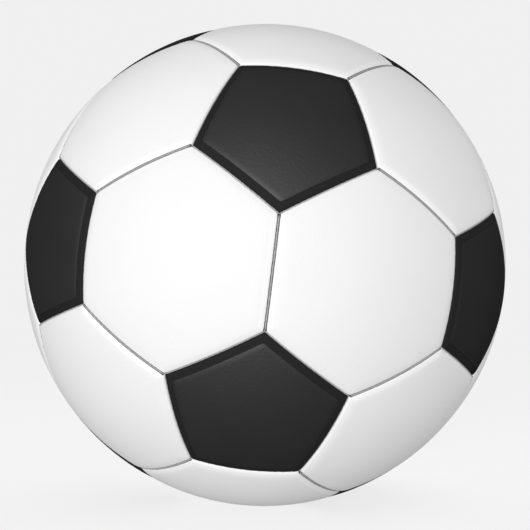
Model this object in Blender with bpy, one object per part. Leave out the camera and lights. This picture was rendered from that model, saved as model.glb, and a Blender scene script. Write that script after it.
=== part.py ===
"""Hand-sewn soccer ball, size 5: thirty-two panels and their thread round an inflated rubber bladder.

Frame: metres, +Z up, origin at the centre of the ball. The -Y axis runs out through the middle of the
front seam, where two white panels meet, and that seam leans SEAM_LEAN clockwise seen from the front.

The cover is a truncated icosahedron blown up into a sphere: twelve black five-sided panels and twenty
white six-sided ones with the same side. Each panel is a dished laminate whose edges turn inwards as
flanges, and the flanges of two neighbours lie back to back in the seam. A panel and everything else
that is round is drawn about its own +Z axis, with the centre of the ball as its origin, and is then
only turned into place.
"""

import math

import bmesh
import bpy
from mathutils import Matrix, Vector

# ---- Driving dimensions, in metres ----------------------------------------------------------------

CIRCUMFERENCE = 0.690  # a size 5 ball measures 0.680 to 0.700 round
SEAM_LEAN = math.radians(7.0)

PANEL_THICKNESS = 0.0032  # skin, foam and cloth plies, glued together
SEAM_GAP = 0.0003  # between the flanges of two panels
FLANGE_DEPTH = 0.0070  # from the ball's surface down to the turned-in edge
FLANGE_THICKNESS = 0.0024  # the laminate where the stitches squeeze it
BLACK_MARGIN = 0.0036  # width of the band that slopes from a black panel's crown into the seam
WHITE_MARGIN = 0.0024
MARGIN_DROP = 0.0006  # how far that band falls
EDGE_ROLL = 0.0016  # radius at which the laminate folds into its flange

THREAD_THICKNESS = 0.0005
THREAD_CLEARANCE = 0.00015

BLADDER_WALL = 0.0009
BLADDER_CLEARANCE = 0.0006  # between the flanges and the bladder
SEAT_GAP = 0.0003  # between two pieces that lie on each other

STEM_RADIUS = 0.0054  # the valve housing where it fills the hole in its panel
STEM_CLEARANCE = 0.0004
RIM_RECESS = 0.0008  # from the ball's surface down to the valve's rim
BARREL_RADIUS = 0.0050  # the valve housing inside the bladder
BARREL_REACH = 0.0090  # how far it goes in past the bladder's outer face
BORE_RADIUS = 0.0033
SKIRT_RADIUS = 0.0140
SKIRT_THICKNESS = 0.0010

CORE_CLEARANCE = 0.0003
CORE_LENGTH = 0.0125
CORE_TIP_RADIUS = 0.0019
CORE_TIP_LENGTH = 0.0020
CORE_HEAD_RADIUS = 0.0039
CORE_HEAD_THICKNESS = 0.0011
CORE_SINK = 0.0002  # its head lies this far under the rim
NEEDLE_HOLE_RADIUS = 0.0010
NEEDLE_HOLE_DEPTH = 0.0055
NEEDLE_FUNNEL_RADIUS = 0.0020
NEEDLE_FUNNEL_DEPTH = 0.0012

PATCH_RADIUS = 0.0190  # the rubber patch that bonds the valve's skirt down
PATCH_THICKNESS = 0.0006
BACKING_RADIUS = 0.0125  # the cloth disc behind the valve panel's hole
BACKING_THICKNESS = 0.0006
BALANCE_RADIUS = 0.0150
BALANCE_THICKNESS = 0.0020

# ---- Facets ---------------------------------------------------------------------------------------

STEPS_PER_SIDE = 3
ROLL_STEPS = 2
ROLL_START = math.radians(20.0)  # the slope at which the margin runs into the roll
CROWN_RINGS = (2 / 3, 1 / 3)  # shares of the way from a panel's middle to its margin
LINING_RINGS = (0.7, 0.35)
BLADDER_SEGMENTS = 32
BLADDER_RINGS = 16
VALVE_SEGMENTS = 24

# ---- What follows from them -----------------------------------------------------------------------

BALL_RADIUS = CIRCUMFERENCE / (2 * math.pi)
# A truncated icosahedron's circumradius, in sides.
SIDES_IN_RADIUS = math.sqrt(58 + 18 * math.sqrt(5)) / 4
SEAM_ANGLE = 2 * math.asin(1 / (2 * SIDES_IN_RADIUS))
GOLDEN = (1 + math.sqrt(5)) / 2
FULL_TURN = 2 * math.pi
HALF_GAP = SEAM_GAP / 2
LINING_RADIUS = BALL_RADIUS - PANEL_THICKNESS
FLANGE_TIP_RADIUS = BALL_RADIUS - FLANGE_DEPTH
BLADDER_RADIUS = FLANGE_TIP_RADIUS - BLADDER_CLEARANCE
ROLL_TOP = BALL_RADIUS - MARGIN_DROP + EDGE_ROLL * (1 - math.cos(ROLL_START))

RIM_HEIGHT = BALL_RADIUS - RIM_RECESS
PANEL_HOLE_RADIUS = STEM_RADIUS + STEM_CLEARANCE
NECK_RADIUS = BARREL_RADIUS + STEM_CLEARANCE
HEAD_SEAT_RADIUS = CORE_HEAD_RADIUS + CORE_CLEARANCE
SHANK_RADIUS = BORE_RADIUS - CORE_CLEARANCE
HEAD_TOP = RIM_HEIGHT - CORE_SINK
HEAD_UNDERSIDE = HEAD_TOP - CORE_HEAD_THICKNESS
SKIRT_UNDERSIDE = BLADDER_RADIUS + SEAT_GAP
SKIRT_TOP = SKIRT_UNDERSIDE + SKIRT_THICKNESS
PATCH_UNDERSIDE = SKIRT_TOP + SEAT_GAP

# Towards the panel that holds the valve: behind, to the left and above.
VALVE_SIDE = Vector((-1.0, 1.0, 1.0))

FINISHES = {
    "white_skin": ((0.90, 0.90, 0.90, 1.0), 0.35),
    "black_skin": ((0.020, 0.020, 0.021, 1.0), 0.35),
    "grey_thread": ((0.35, 0.35, 0.35, 1.0), 0.70),
    "bladder_rubber": ((0.030, 0.030, 0.032, 1.0), 0.55),
    "valve_rubber": ((0.050, 0.050, 0.052, 1.0), 0.50),
    "valve_core_rubber": ((0.12, 0.12, 0.125, 1.0), 0.45),
    "patch_rubber": ((0.080, 0.045, 0.035, 1.0), 0.60),
    "backing_cloth": ((0.62, 0.60, 0.54, 1.0), 0.90),
}


# ---- Scene helpers --------------------------------------------------------------------------------


def clear_scene():
    """Leaves the scene with no objects."""
    for obj in list(bpy.data.objects):
        bpy.data.objects.remove(obj, do_unlink=True)


def material(finish):
    """The material of that name, made the first time it is asked for."""
    found = bpy.data.materials.get(finish)
    if found:
        return found
    colour, roughness = FINISHES[finish]
    made = bpy.data.materials.new(finish)
    made.use_nodes = True
    made.diffuse_color = colour
    shader = made.node_tree.nodes["Principled BSDF"]
    shader.inputs["Base Color"].default_value = colour
    shader.inputs["Roughness"].default_value = roughness
    shader.inputs["Metallic"].default_value = 0.0
    return made


def mesh_from(bm, name, finish):
    """Closes off a bmesh as a mesh with its normals out, smooth apart from its creases."""
    bmesh.ops.recalc_face_normals(bm, faces=bm.faces[:])
    if bm.calc_volume(signed=True) < 0:
        bmesh.ops.reverse_faces(bm, faces=bm.faces[:])
    mesh = bpy.data.meshes.new(name)
    bm.to_mesh(mesh)
    bm.free()
    mesh.materials.append(material(finish))
    mesh.shade_smooth()
    mesh.set_sharp_from_angle(angle=math.radians(35))
    return mesh


def place(name, mesh, turn):
    """One named object that shows this mesh, turned about the centre of the ball."""
    obj = bpy.data.objects.new(name, mesh)
    obj.matrix_world = turn.to_4x4()
    bpy.context.scene.collection.objects.link(obj)
    return obj


def turn_to(outward, towards):
    """The rotation that brings +Z onto outward and +X as near as can be to towards."""
    z = outward.normalized()
    y = z.cross(towards).normalized()
    x = y.cross(z)
    return Matrix((x, y, z)).transposed()


# ---- Where the panels lie -------------------------------------------------------------------------


def black_directions():
    """The middles of the black panels: an icosahedron's corners, with seams across all three axes."""
    lean = Matrix.Rotation(SEAM_LEAN, 3, "Y")
    corners = []
    for short in (-1.0, 1.0):
        for long in (-GOLDEN, GOLDEN):
            for corner in ((0.0, long, short), (long, short, 0.0), (short, 0.0, long)):
                corners.append((lean @ Vector(corner)).normalized())
    return from_the_top(corners)


def from_the_top(directions):
    """Directions in the order a person would number them: down the ball, and round it at each level."""
    return sorted(directions, key=lambda d: (-round(d.z, 3), round(math.atan2(d.x, -d.y), 3)))


def neighbours(direction, others):
    """The five black panels nearest to this one, in order round it."""
    near = sorted(others, key=lambda other: -direction.dot(other))[1:6]
    flatten = turn_to(direction, near[0]).transposed()
    angles = [math.atan2((flatten @ other).y, (flatten @ other).x) for other in near]
    return [other for _, other in sorted(zip(angles, near), key=lambda pair: round(pair[0], 6) % FULL_TURN)]


def white_directions(blacks):
    """The middles of the white panels: where three black panels lie round one point."""
    found = []
    for black in blacks:
        ring = neighbours(black, blacks)
        for one, next_one in zip(ring, ring[1:] + ring[:1]):
            middle = (black + one + next_one).normalized()
            if all(middle.dot(other) < 0.999 for other in found):
                found.append(middle)
    return from_the_top(found)


# ---- Points on a panel ----------------------------------------------------------------------------


def corner_directions(sides):
    """The corners of a panel about +Z. A side is one unit long where the ball is SIDES_IN_RADIUS."""
    polar = math.asin(1 / (2 * math.sin(math.pi / sides)) / SIDES_IN_RADIUS)
    corners = []
    for k in range(sides):
        around = FULL_TURN * k / sides
        flat = math.sin(polar)
        corners.append(Vector((flat * math.cos(around), flat * math.sin(around), math.cos(polar))))
    return corners


def seam_normals(corners):
    """For each side, the normal of the plane through it and the ball's centre, pointing into the panel."""
    return [a.cross(b).normalized() for a, b in zip(corners, corners[1:] + corners[:1])]


def point_off(first, first_off, second, second_off, radius):
    """The point at this radius, on the +Z half, that lies the given distances off two planes."""
    cosine = first.dot(second)
    spread = 1 - cosine * cosine
    across = first * ((first_off - cosine * second_off) / spread)
    across += second * ((second_off - cosine * first_off) / spread)
    along = first.cross(second).normalized()
    if along.z < 0:
        along.negate()
    return across + along * math.sqrt(radius**2 - across.length_squared)


def arc_between(start, end, normal, off, share):
    """A point that share of the way along the arc from start to end, which stay off a plane by off."""
    centre = normal * off
    reach = start - centre
    return centre + reach.slerp(end - centre, share) * reach.length


def panel_loop(sides, inset, radius):
    """A panel's outline at this radius and this far inside its seams, STEPS_PER_SIDE points a side."""
    normals = seam_normals(corner_directions(sides))
    ends = [point_off(normals[k - 1], inset, normals[k], inset, radius) for k in range(sides)]
    points = []
    for k in range(sides):
        for step in range(STEPS_PER_SIDE):
            share = step / STEPS_PER_SIDE
            end = ends[(k + 1) % sides]
            points.append(arc_between(ends[k], end, normals[k], inset, share) if step else ends[k])
    return points


def shrunk_loop(loop, share, radius):
    """That loop drawn in towards +Z, on a sphere of this radius."""
    up = Vector((0.0, 0.0, 1.0))
    return [up.slerp(point.normalized(), share) * radius for point in loop]


def hole_loop(loop, hole_radius, radius):
    """A round hole about +Z, with a point towards each point of the loop."""
    height = math.sqrt(radius**2 - hole_radius**2)
    points = []
    for point in loop:
        around = math.atan2(point.y, point.x)
        points.append(Vector((hole_radius * math.cos(around), hole_radius * math.sin(around), height)))
    return points


# ---- Panels ---------------------------------------------------------------------------------------


def add_loop(bm, points):
    """Vertices for a closed loop of points."""
    return [bm.verts.new(point) for point in points]


def bridge(bm, outer, inner):
    """A band of faces between two loops with as many vertices each."""
    count = len(outer)
    for k in range(count):
        bm.faces.new((outer[k], outer[(k + 1) % count], inner[(k + 1) % count], inner[k]))


def cap(bm, loop, height):
    """Closes a loop with a fan round a vertex on the axis."""
    middle = bm.verts.new((0.0, 0.0, height))
    for k, vertex in enumerate(loop):
        bm.faces.new((vertex, loop[(k + 1) % len(loop)], middle))


def edge_profile(margin):
    """(inset, radius) from a panel's crown over its margin and roll and round its flange to the lining."""
    points = [(HALF_GAP + margin, BALL_RADIUS)]
    for step in range(ROLL_STEPS + 1):
        angle = ROLL_START + (math.pi / 2 - ROLL_START) * step / ROLL_STEPS
        inset = HALF_GAP + EDGE_ROLL * (1 - math.sin(angle))
        points.append((inset, ROLL_TOP - EDGE_ROLL * (1 - math.cos(angle))))
    points.append((HALF_GAP, FLANGE_TIP_RADIUS))
    points.append((HALF_GAP + FLANGE_THICKNESS, FLANGE_TIP_RADIUS))
    points.append((HALF_GAP + FLANGE_THICKNESS, LINING_RADIUS))
    return points


def panel_mesh(name, sides, margin, finish, hole_radius=0.0, seat_radius=0.0):
    """A dished panel about +Z, with its flanges. A hole comes with a seat round it on the lining."""
    bm = bmesh.new()
    profile = edge_profile(margin)
    outlines = [panel_loop(sides, inset, radius) for inset, radius in profile]
    crown = [shrunk_loop(outlines[0], share, BALL_RADIUS) for share in reversed(CROWN_RINGS)]
    lining = [shrunk_loop(outlines[-1], share, LINING_RADIUS) for share in LINING_RINGS]
    if hole_radius:
        crown.insert(0, hole_loop(outlines[0], hole_radius, BALL_RADIUS))
        lining.append(hole_loop(outlines[0], seat_radius, LINING_RADIUS))
        lining.append(hole_loop(outlines[0], hole_radius, LINING_RADIUS))
    loops = [add_loop(bm, points) for points in crown + outlines + lining]
    for outer, inner in zip(loops, loops[1:]):
        bridge(bm, outer, inner)
    if hole_radius:
        bridge(bm, loops[-1], loops[0])
    else:
        cap(bm, loops[0], BALL_RADIUS)
        cap(bm, loops[-1], LINING_RADIUS)
    return mesh_from(bm, name, finish)


# ---- Thread ---------------------------------------------------------------------------------------


def thread_radii():
    """The radii of the thread's two faces, as deep as it goes between the rolled edges."""
    room = THREAD_THICKNESS / 2 + THREAD_CLEARANCE - HALF_GAP
    angle = math.asin(1 - room / EDGE_ROLL)
    bottom = ROLL_TOP - EDGE_ROLL * (1 - math.cos(angle))
    return bottom + THREAD_THICKNESS, bottom


def thread_ring(radius):
    """The ring round a black panel: its inner loop, and for each side its row of outer points."""
    half = THREAD_THICKNESS / 2
    corners = corner_directions(5)
    normals = seam_normals(corners)
    across = [Vector((-c.y, c.x, 0.0)).normalized() for c in corners]
    rows = []
    for k, normal in enumerate(normals):
        start = point_off(normal, -half, across[k], half, radius)
        end = point_off(normal, -half, across[(k + 1) % 5], -half, radius)
        shares = [step / STEPS_PER_SIDE for step in range(STEPS_PER_SIDE + 1)]
        rows.append([arc_between(start, end, normal, -half, share) for share in shares])
    return panel_loop(5, half, radius), rows


def spoke_points(corner, radius, share):
    """The left and right points of a thread that runs on outwards from a corner, at a share of its seam."""
    half = THREAD_THICKNESS / 2
    start = math.acos(corner.z)
    length = SEAM_ANGLE - (THREAD_THICKNESS + SEAT_GAP) / radius
    polar = start + length * share
    around = math.atan2(corner.y, corner.x)
    across = Vector((-math.sin(around), math.cos(around), 0.0))
    flat = math.sin(polar)
    middle = Vector((flat * math.cos(around), flat * math.sin(around), math.cos(polar)))
    middle *= math.sqrt(radius**2 - half**2)
    return middle - across * half, middle + across * half


def thread_mesh(name, spokes):
    """One length of thread: round a black panel, then out along the white seams from those corners."""
    bm = bmesh.new()
    layers = []
    for radius in thread_radii():
        inner, rows = thread_ring(radius)
        inner = add_loop(bm, inner)
        rows = [add_loop(bm, row) for row in rows]
        layers.append((inner, rows))
    for inner, rows in layers:
        for k, row in enumerate(rows):
            for step in range(STEPS_PER_SIDE):
                at = k * STEPS_PER_SIDE + step
                bm.faces.new((inner[at], inner[(at + 1) % len(inner)], row[step + 1], row[step]))
            bm.faces.new((inner[k * STEPS_PER_SIDE], row[0], rows[k - 1][-1]))
    (top_inner, top_rows), (low_inner, low_rows) = layers
    bridge(bm, top_inner, low_inner)
    for top, low in zip(top_rows, low_rows):
        for step in range(STEPS_PER_SIDE):
            bm.faces.new((top[step], top[step + 1], low[step + 1], low[step]))
    for k, corner in enumerate(corner_directions(5)):
        section = [top_rows[k - 1][-1], top_rows[k][0], low_rows[k][0], low_rows[k - 1][-1]]
        if k in spokes:
            section = grow_spoke(bm, section, corner)
        bm.faces.new(section)
    return mesh_from(bm, name, "grey_thread")


def grow_spoke(bm, section, corner):
    """Carries a thread's four-cornered section out along the seam from a corner, and gives its end."""
    top, low = thread_radii()
    for step in range(1, STEPS_PER_SIDE + 1):
        top_left, top_right = spoke_points(corner, top, step / STEPS_PER_SIDE)
        low_left, low_right = spoke_points(corner, low, step / STEPS_PER_SIDE)
        moved = add_loop(bm, (top_left, top_right, low_right, low_left))
        bridge(bm, section, moved)
        section = moved
    return section


def spokes_of(blacks):
    """For each black panel, which of its corners its own thread runs on from: two or three each."""
    spokes = {k: [] for k in range(len(blacks))}
    seams = []
    for k, black in enumerate(blacks):
        for other in neighbours(black, blacks):
            at = blacks.index(other)
            if k < at:
                seams.append((k, at))
    for k, at in seams:
        keeper, other = (k, at) if len(spokes[k]) <= len(spokes[at]) else (at, k)
        spokes[keeper].append(other)
    return spokes


# ---- Turned pieces --------------------------------------------------------------------------------


def dome(radius, out):
    """The height of a sphere of this radius at a distance out from its axis."""
    return math.sqrt(radius**2 - out**2)


def turned_mesh(name, profile, segments, finish):
    """A closed outline of (distance from the axis, height) points, spun round +Z."""
    bm = bmesh.new()
    verts = [bm.verts.new((out, 0.0, height)) for out, height in profile]
    edges = [bm.edges.new((a, b)) for a, b in zip(verts, verts[1:])]
    if profile[0][0] or profile[-1][0]:
        edges.append(bm.edges.new((verts[-1], verts[0])))
    centre = (0.0, 0.0, 0.0)
    bmesh.ops.spin(bm, geom=edges, cent=centre, axis=(0, 0, 1), angle=FULL_TURN, steps=segments)
    bmesh.ops.remove_doubles(bm, verts=bm.verts[:], dist=1e-6)
    return mesh_from(bm, name, finish)


def bladder_profile():
    """The bladder's wall, from its neck round to the far pole and back inside."""
    inner = BLADDER_RADIUS - BLADDER_WALL
    start = math.asin(NECK_RADIUS / BLADDER_RADIUS)
    angles = [start + (math.pi - start) * k / BLADDER_RINGS for k in range(BLADDER_RINGS + 1)]
    outside = [(BLADDER_RADIUS * math.sin(a), BLADDER_RADIUS * math.cos(a)) for a in angles[:-1]]
    inside = [(inner * math.sin(a), inner * math.cos(a)) for a in reversed(angles[1:-1])]
    poles = [(0.0, -BLADDER_RADIUS), (0.0, -inner)]
    return outside + poles + inside + [(NECK_RADIUS, dome(inner, NECK_RADIUS))]


def valve_body_profile():
    """The housing: rim, stem, skirt on the bladder, barrel through its neck, and the stepped bore."""
    bottom = BLADDER_RADIUS - BARREL_REACH
    seat = HEAD_UNDERSIDE - SEAT_GAP
    return [
        (HEAD_SEAT_RADIUS, RIM_HEIGHT),
        (STEM_RADIUS, RIM_HEIGHT),
        (STEM_RADIUS, dome(SKIRT_TOP, STEM_RADIUS)),
        (SKIRT_RADIUS, dome(SKIRT_TOP, SKIRT_RADIUS)),
        (SKIRT_RADIUS, dome(SKIRT_UNDERSIDE, SKIRT_RADIUS)),
        (BARREL_RADIUS, dome(SKIRT_UNDERSIDE, BARREL_RADIUS)),
        (BARREL_RADIUS, bottom),
        (BORE_RADIUS, bottom),
        (BORE_RADIUS, seat),
        (HEAD_SEAT_RADIUS, seat),
    ]


def valve_core_profile():
    """The plug: a blind needle hole in its head, a straight shank and a tapered tip."""
    hole_bottom = HEAD_TOP - NEEDLE_HOLE_DEPTH
    tip = HEAD_TOP - CORE_LENGTH
    return [
        (0.0, hole_bottom),
        (NEEDLE_HOLE_RADIUS, hole_bottom),
        (NEEDLE_HOLE_RADIUS, HEAD_TOP - NEEDLE_FUNNEL_DEPTH),
        (NEEDLE_FUNNEL_RADIUS, HEAD_TOP),
        (CORE_HEAD_RADIUS, HEAD_TOP),
        (CORE_HEAD_RADIUS, HEAD_UNDERSIDE),
        (SHANK_RADIUS, HEAD_UNDERSIDE),
        (SHANK_RADIUS, tip + CORE_TIP_LENGTH),
        (CORE_TIP_RADIUS, tip),
        (0.0, tip),
    ]


def valve_patch_profile():
    """A ring of rubber that lies on the skirt and steps down past it onto the bladder."""
    inner = STEM_RADIUS + STEM_CLEARANCE
    step_in = SKIRT_RADIUS + SEAT_GAP
    step_out = step_in + PATCH_THICKNESS
    top = PATCH_UNDERSIDE + PATCH_THICKNESS
    low = SKIRT_UNDERSIDE
    low_top = low + PATCH_THICKNESS
    return [
        (inner, dome(top, inner)),
        (step_out, dome(top, step_out)),
        (step_out, dome(low_top, step_out)),
        (PATCH_RADIUS, dome(low_top, PATCH_RADIUS)),
        (PATCH_RADIUS, dome(low, PATCH_RADIUS)),
        (step_in, dome(low, step_in)),
        (step_in, dome(PATCH_UNDERSIDE, step_in)),
        (inner, dome(PATCH_UNDERSIDE, inner)),
    ]


def ring_profile(inner, outer, top, underside):
    """A domed ring, or a domed disc where inner is 0."""
    return [
        (inner, dome(top, inner)),
        (outer, dome(top, outer)),
        (outer, dome(underside, outer)),
        (inner, dome(underside, inner)),
    ]


# ---- The ball -------------------------------------------------------------------------------------


def make_black_panels(blacks):
    """Twelve black panels, each with a corner towards a black neighbour."""
    mesh = panel_mesh("black_panel", 5, BLACK_MARGIN, "black_skin")
    for number, black in enumerate(blacks, start=1):
        place(f"black_panel_{number:02d}", mesh, turn_to(black, neighbours(black, blacks)[0]))


def make_white_panels(plain_ones, valve_direction, blacks):
    """Nineteen plain white panels, and the one that the valve comes out of."""
    plain = panel_mesh("white_panel", 6, WHITE_MARGIN, "white_skin")
    for number, white in enumerate(plain_ones, start=1):
        place(f"white_panel_{number:02d}", plain, turn_to(white, white_first_corner(white, blacks)))
    sizes = (PANEL_HOLE_RADIUS, BACKING_RADIUS)
    holed = panel_mesh("valve_panel", 6, WHITE_MARGIN, "white_skin", *sizes)
    place("valve_panel", holed, turn_to(valve_direction, white_first_corner(valve_direction, blacks)))


def white_first_corner(white, blacks):
    """A corner of this white panel: one of the two that it shares with the nearest black panel."""
    nearest = max(blacks, key=white.dot)
    half_side = FULL_TURN / 12
    return turn_to(white, nearest) @ Vector((math.cos(half_side), math.sin(half_side), 0.0))


def make_threads(blacks):
    """Twelve lengths of thread, one round each black panel, that between them sew all ninety seams."""
    for number, (k, others) in enumerate(spokes_of(blacks).items(), start=1):
        ring = neighbours(blacks[k], blacks)
        corners = {ring.index(blacks[other]) for other in others}
        name = f"seam_thread_{number:02d}"
        place(name, thread_mesh(name, corners), turn_to(blacks[k], ring[0]))


def make_inside(valve_direction):
    """The bladder, its valve and the patches, about the valve's axis."""
    turn = turn_to(valve_direction, Vector((0.0, 0.0, 1.0)))
    far = turn_to(-valve_direction, Vector((0.0, 0.0, 1.0)))
    backing_top = LINING_RADIUS - SEAT_GAP
    balance_top = SKIRT_UNDERSIDE + BALANCE_THICKNESS
    backing = ring_profile(PANEL_HOLE_RADIUS, BACKING_RADIUS, backing_top, backing_top - BACKING_THICKNESS)
    balance = ring_profile(0.0, BALANCE_RADIUS, balance_top, SKIRT_UNDERSIDE)
    pieces = [
        ("bladder", bladder_profile(), BLADDER_SEGMENTS, "bladder_rubber", turn),
        ("valve_body", valve_body_profile(), VALVE_SEGMENTS, "valve_rubber", turn),
        ("valve_core", valve_core_profile(), VALVE_SEGMENTS, "valve_core_rubber", turn),
        ("valve_patch", valve_patch_profile(), VALVE_SEGMENTS, "patch_rubber", turn),
        ("valve_hole_backing", backing, VALVE_SEGMENTS, "backing_cloth", turn),
        ("balance_patch", balance, VALVE_SEGMENTS, "patch_rubber", far),
    ]
    for name, profile, segments, finish, way in pieces:
        place(name, turned_mesh(name, profile, segments, finish), way)


def main():
    clear_scene()
    blacks = black_directions()
    whites = white_directions(blacks)
    valve_direction = max(whites, key=VALVE_SIDE.dot)
    whites.remove(valve_direction)
    make_black_panels(blacks)
    make_white_panels(whites, valve_direction, blacks)
    make_threads(blacks)
    make_inside(valve_direction)


main()
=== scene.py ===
"""Looks of a hand-sewn, thirty-two-panel soccer ball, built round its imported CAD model.

Every CAD piece is replaced by a finer one in the same place: panels with a crown, a pressed margin, a
rolled edge and flanges; twisted thread in the seams; the valve and its core; and the bladder with the
pieces glued to it. Lengths are metres in the model's own frame, unless a name says mm.
"""

import logging
import math
from dataclasses import dataclass, field
from enum import Enum, IntEnum
from functools import cache
from typing import Any, NamedTuple, Optional, Sequence

import bpy
import numpy as np
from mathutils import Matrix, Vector


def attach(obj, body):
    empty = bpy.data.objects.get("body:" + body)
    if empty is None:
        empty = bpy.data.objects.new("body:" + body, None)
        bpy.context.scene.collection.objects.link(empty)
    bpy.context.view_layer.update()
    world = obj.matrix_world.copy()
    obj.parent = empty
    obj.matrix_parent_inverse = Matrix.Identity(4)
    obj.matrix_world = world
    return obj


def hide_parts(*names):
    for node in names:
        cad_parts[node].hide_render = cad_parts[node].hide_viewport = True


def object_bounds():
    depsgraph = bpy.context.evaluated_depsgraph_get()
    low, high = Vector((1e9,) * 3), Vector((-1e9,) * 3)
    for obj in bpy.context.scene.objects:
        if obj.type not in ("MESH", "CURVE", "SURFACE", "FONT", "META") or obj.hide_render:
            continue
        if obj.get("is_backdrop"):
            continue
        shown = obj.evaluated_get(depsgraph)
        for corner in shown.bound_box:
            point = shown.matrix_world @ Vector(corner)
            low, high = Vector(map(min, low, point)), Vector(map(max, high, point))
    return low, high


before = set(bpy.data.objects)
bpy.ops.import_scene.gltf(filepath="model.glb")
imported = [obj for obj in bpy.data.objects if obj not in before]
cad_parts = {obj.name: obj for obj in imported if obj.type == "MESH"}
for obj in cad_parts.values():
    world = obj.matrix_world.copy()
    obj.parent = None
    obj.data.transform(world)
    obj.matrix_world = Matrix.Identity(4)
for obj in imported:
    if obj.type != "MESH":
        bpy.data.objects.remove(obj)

MM = 0.001
FULL_TURN = 2 * math.pi
CIRCUMFERENCE = 0.690  # of a size 5 ball
LAMINATE_MM = 3.2
STITCHES = 10  # along one side of a panel
BALL = "ball"
CORE = "valve_core"
Tree = bpy.types.NodeTree
Socket = bpy.types.NodeSocket
Piece = bpy.types.Object
Inputs = dict[str | int, Any]  # by name, or by number where a node's names repeat
Profile = list[tuple[float, float]]  # (distance from the axis, height along it), in millimetres
log = logging.getLogger("soccer_ball")


# ---- Small helpers ----


def linear(code: str) -> tuple[float, float, float, float]:
    """Turns an sRGB hex colour into linear light.

    Args:
        code: six hex digits after a number sign.

    Returns:
        Red, green, blue and an alpha of 1.
    """
    channels = [int(code[at : at + 2], 16) / 255 for at in (1, 3, 5)]
    light = [c / 12.92 if c <= 0.04045 else ((c + 0.055) / 1.055) ** 2.4 for c in channels]
    return (light[0], light[1], light[2], 1.0)


def per_metre(size_mm: float) -> float:
    """The texture scale that gives a pattern this size in millimetres."""
    return 1 / (size_mm * MM)


def unit(vectors: np.ndarray) -> np.ndarray:
    """The same directions, each one long."""
    return vectors / np.linalg.norm(vectors, axis=-1, keepdims=True)


def dots(one: np.ndarray, other: np.ndarray) -> np.ndarray:
    """Row by row scalar products, kept as a column."""
    return (one * other).sum(-1, keepdims=True)


def even_angles(count: int) -> np.ndarray:
    """That many angles, evenly round a full turn."""
    return np.arange(count) / count * FULL_TURN


def circle(angles: np.ndarray, right: np.ndarray, up: np.ndarray) -> np.ndarray:
    """The direction at each angle, turning from right towards up."""
    return np.cos(angles)[:, None] * right + np.sin(angles)[:, None] * up


def stitch_wave(count: int, steps: int) -> np.ndarray:
    """A wave over that many points, 1 at the ends of each stitch and 0 halfway along it."""
    return 0.5 + 0.5 * np.cos(np.arange(count) / steps * FULL_TURN)


def sideways_of(axis: np.ndarray) -> tuple[np.ndarray, np.ndarray]:
    """Finds two directions square to an axis and to each other.

    Args:
        axis: a direction, one long.

    Returns:
        The two directions, which turn about the axis from the first to the second.
    """
    flattest = np.eye(3)[np.argmin(np.abs(axis))]
    first = unit(np.cross(axis, flattest))
    return first, np.cross(axis, first)


def arcs(start: np.ndarray, end: np.ndarray, shares: np.ndarray) -> np.ndarray:
    """Finds points along the arcs from each start to its end.

    Args:
        start: one point a row, about the origin.
        end: as many, as far out as their starts.
        shares: how far along to stop, from 0 to 1.

    Returns:
        An array of rows by shares by 3.
    """
    cosine = dots(start, end) / dots(start, start)
    angle = np.arccos(np.clip(cosine, -1, 1))[:, :, None]
    share = shares[None, :, None]
    first = np.sin((1 - share) * angle) * start[:, None, :]
    second = np.sin(share * angle) * end[:, None, :]
    return (first + second) / np.sin(angle)


def add_node(
    tree: Tree,
    kind: str,
    settings: Optional[Inputs] = None,
    links: Optional[Inputs] = None,
) -> bpy.types.Node:
    """Adds one node with its settings and the links into it.

    Args:
        tree: the node tree it goes in.
        kind: the node's type name, after ShaderNode.
        settings: values by attribute name, or by input name or number if it isn't an attribute.
        links: output sockets by the name or number of the input that each goes to.

    Returns:
        The node.
    """
    node = tree.nodes.new(f"ShaderNode{kind}")
    for name, value in (settings or {}).items():
        if isinstance(name, str) and hasattr(node, name):
            setattr(node, name, value)
        else:
            node.inputs[name].default_value = value
    for name, socket in (links or {}).items():
        tree.links.new(socket, node.inputs[name])
    return node


def new_material(name: str) -> tuple[bpy.types.Material, Tree]:
    """Makes an empty node material.

    Args:
        name: the material's name.

    Returns:
        The material and its node tree.
    """
    made = bpy.data.materials.new(name)
    made.use_nodes = True
    made.node_tree.nodes.clear()
    return made, made.node_tree


def dress(made: Piece, node: str, body: str = BALL) -> Piece:
    """Says what a piece rides on and stands for.

    Args:
        made: the piece.
        node: the CAD node that it replaces.
        body: the CAD body that it moves with.

    Returns:
        The same piece.
    """
    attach(made, body)
    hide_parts(node)
    return made


# ---- Finishes ----


class Drawing(NamedTuple):
    """What one finish draws: its pattern, its relief and its shader's settings."""

    mix: Socket  # 0 where the first tone shows, 1 where the second does
    height: Socket
    bump: Inputs
    shader: Inputs
    links: Inputs = {}


@dataclass(frozen=True)
class TwoToneFinish:
    """What all finishes share: two tones mixed by a pattern, and a relief that catches the light."""

    name: str
    first: str
    second: str

    def draw(self, tree: Tree, where: Socket) -> Drawing:
        """Draws the pattern and the relief, in each finish's own way."""
        raise NotImplementedError

    def make(self) -> bpy.types.Material:
        """Builds the material.

        Returns:
            The material, its pattern laid in the object's own space.
        """
        made, tree = new_material(self.name)
        where = add_node(tree, "TexCoord").outputs["Object"]
        drawn = self.draw(tree, where)
        tones = {"data_type": "RGBA", 6: linear(self.first), 7: linear(self.second)}
        tone = add_node(tree, "Mix", tones, {0: drawn.mix})
        relief = add_node(tree, "Bump", drawn.bump, {"Height": drawn.height})
        links = {"Base Color": tone.outputs[2], "Normal": relief.outputs["Normal"]}
        shader = add_node(tree, "BsdfPrincipled", drawn.shader, links | drawn.links)
        add_node(tree, "OutputMaterial", {}, {"Surface": shader.outputs["BSDF"]})
        return made


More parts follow.
